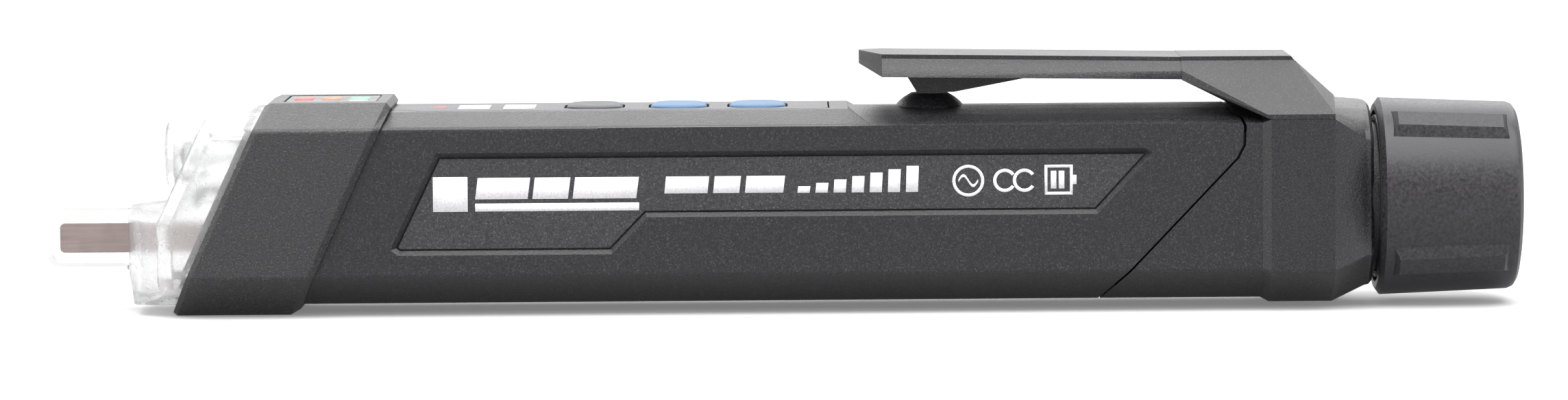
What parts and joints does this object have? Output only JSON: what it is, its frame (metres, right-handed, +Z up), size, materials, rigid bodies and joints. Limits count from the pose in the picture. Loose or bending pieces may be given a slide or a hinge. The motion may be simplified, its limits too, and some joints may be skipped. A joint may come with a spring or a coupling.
{
  "type": "non contact voltage tester",
  "caption": "Pen-shaped non-contact voltage tester: clear sensing tip, torch, indicator window, keypad, pocket clip, threaded tail cap over the battery bay.",
  "frame": {"origin": "centre of the base of the bounding box, under the middle of the tester as it lies on its underside", "axes": "+X from the sensing tip to the tail cap, +Z up through the buttons and pocket clip, XZ is the plane of symmetry"},
  "size_m": [0.159, 0.0234, 0.0278],
  "materials": {
    "black_plastic": "fine spark-eroded texture, satin",
    "label_plastic": "coarse texture with white print",
    "clear_plastic": "clear moulded polycarbonate, polished",
    "smoked_plastic": "smoked clear window",
    "grey_rubber": "dark grey silicone keytop",
    "blue_rubber": "light blue silicone keytop",
    "red_lens": "red diffused lens",
    "amber_lens": "amber diffused lens",
    "green_lens": "green diffused lens",
    "copper": "brushed copper strip, slightly tarnished",
    "steel": "nickel-plated spring steel",
    "switch_metal": "stamped switch cover",
    "circuit_board": "green solder mask",
    "chip_plastic": "black moulded compound",
    "cell_jacket": "printed shrink sleeve, plain",
    "seal_rubber": "black nitrile"
  },
  "bodies": {
    "housing": {"clear_nose": "clear_plastic", "sensor_plate": "copper", "sensor_lead": "copper", "torch_led": "clear_plastic", "tip_led": "clear_plastic", "front_bezel": "black_plastic", "indicator_window": "smoked_plastic", "led_red": "red_lens", "led_amber": "amber_lens", "led_green": "green_lens", "barrel": "black_plastic", "top_overlay": "label_plastic", "side_label_left": "label_plastic", "side_label_right": "label_plastic", "power_switch": "switch_metal", "range_switch": "switch_metal", "torch_switch": "switch_metal", "main_pcb": "circuit_board", "amplifier_chip": "chip_plastic", "controller_chip": "chip_plastic", "buzzer": "chip_plastic", "battery_chassis": "black_plastic", "pcb_screw_front": "steel", "pcb_screw_rear": "steel", "battery_cell_front": "cell_jacket", "battery_cell_rear": "cell_jacket", "front_contact": "steel", "return_strip": "steel", "rear_shell": "black_plastic", "o_ring": "seal_rubber"},
    "power_key": {"power_button": "grey_rubber", "power_plunger": "chip_plastic"},
    "range_key": {"range_button": "blue_rubber", "range_plunger": "chip_plastic"},
    "torch_key": {"torch_button": "blue_rubber", "torch_plunger": "chip_plastic"},
    "clip": {"pocket_clip": "black_plastic"},
    "tail_slider": {"tail_contact": "steel", "tail_spring": "steel"},
    "cap": {"tail_cap": "black_plastic"}
  },
  "joints": [
    {"name": "power_press", "type": "slide", "parent": "housing", "child": "power_key", "axis": [0, 0, -1], "range_m": [0, 0.0004], "stiffness_N_per_m": 900},
    {"name": "range_press", "type": "slide", "parent": "housing", "child": "range_key", "axis": [0, 0, -1], "range_m": [0, 0.0004], "stiffness_N_per_m": 900},
    {"name": "torch_press", "type": "slide", "parent": "housing", "child": "torch_key", "axis": [0, 0, -1], "range_m": [0, 0.0004], "stiffness_N_per_m": 900},
    {"name": "clip_flex", "type": "hinge", "parent": "housing", "child": "clip", "pos_m": [0.0429, 0, 0.0258], "axis": [0, 1, 0], "range_deg": [0, 5], "stiffness_Nm_per_rad": 0.6},
    {"name": "cap_travel", "type": "slide", "parent": "housing", "child": "tail_slider", "axis": [1, 0, 0], "range_m": [0, 0.003]},
    {"name": "cap_turn", "type": "hinge", "parent": "tail_slider", "child": "cap", "pos_m": [0.0705, 0, 0.01145], "axis": [1, 0, 0], "range_deg": [0, 540]}
  ],
  "couplings": [
    {"joint": "cap_turn", "follows": "cap_travel", "rad_per_m": 3141.6}
  ]
}
